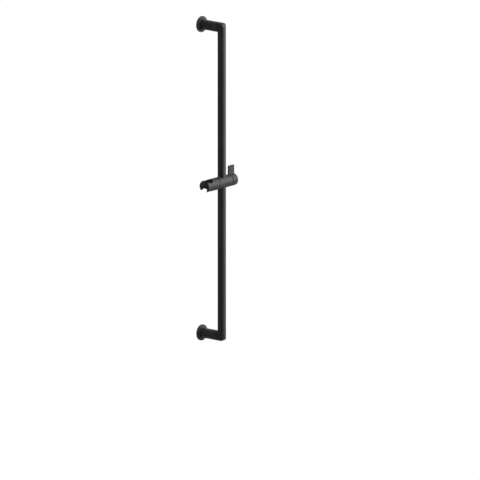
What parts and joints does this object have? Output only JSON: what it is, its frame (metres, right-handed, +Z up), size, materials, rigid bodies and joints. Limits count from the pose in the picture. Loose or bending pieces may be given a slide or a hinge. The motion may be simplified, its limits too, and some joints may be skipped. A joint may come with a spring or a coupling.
{
  "type": "shower slide rail",
  "caption": "Upright black shower slide rail on wall arms, with a sliding cross-bar that clamps by a lever and a swivelling fork for a hand shower.",
  "frame": {"origin": "on the wall plane, midway between the two wall screw holes", "axes": "+Z up along the rail, +Y into the wall, +X from the handset fork towards the clamp lever"},
  "size_m": [0.1274, 0.09, 0.917],
  "materials": {
    "black_coat": "satin black coating on cast and drawn metal",
    "liner_plastic": "matt moulded plastic",
    "washer_plastic": "matt moulded plastic",
    "spring_steel": "bright spring steel",
    "screw_steel": "stainless steel",
    "plate_steel": "turned stainless steel",
    "nut_brass": "turned brass",
    "ring_rubber": "matt rubber",
    "pad_rubber": "matt rubber"
  },
  "bodies": {
    "rail": {"rail_tube": "black_coat", "upper_arm": "black_coat", "upper_wall_plate": "plate_steel", "upper_rose": "black_coat", "upper_rose_ring": "ring_rubber", "upper_arm_grub_screw": "screw_steel", "upper_rail_grub_screw": "screw_steel", "lower_arm": "black_coat", "lower_wall_plate": "plate_steel", "lower_rose": "black_coat", "lower_rose_ring": "ring_rubber", "lower_arm_grub_screw": "screw_steel", "lower_rail_grub_screw": "screw_steel"},
    "slider": {"slider_body": "black_coat", "guide_liner": "liner_plastic", "swivel_washer": "washer_plastic", "lever_washer": "washer_plastic", "lever_circlip": "spring_steel"},
    "holder": {"handset_holder": "black_coat", "swivel_screw": "screw_steel", "swivel_spring_washer": "spring_steel", "swivel_ring": "ring_rubber"},
    "lever": {"lever": "black_coat", "lever_nut": "nut_brass"},
    "brake": {"brake_plunger": "nut_brass", "brake_pad": "pad_rubber"}
  },
  "joints": [
    {"name": "slider_slide", "type": "slide", "parent": "rail", "child": "slider", "axis": [0, 0, 1], "range_m": [-0.4015, 0.4015]},
    {"name": "holder_tilt", "type": "hinge", "parent": "slider", "child": "holder", "pos_m": [-0.0265, -0.073, 0], "axis": [1, 0, 0], "range_deg": [-55, 35]},
    {"name": "lever_turn", "type": "hinge", "parent": "slider", "child": "lever", "pos_m": [0.0304, -0.073, 0], "axis": [1, 0, 0], "range_deg": [0, 90]},
    {"name": "brake_slide", "type": "slide", "parent": "slider", "child": "brake", "axis": [1, 0, 0], "range_m": [0, 0.001]}
  ],
  "couplings": [
    {"joint": "brake_slide", "follows": "lever_turn", "m_per_rad": 0.0006366}
  ]
}
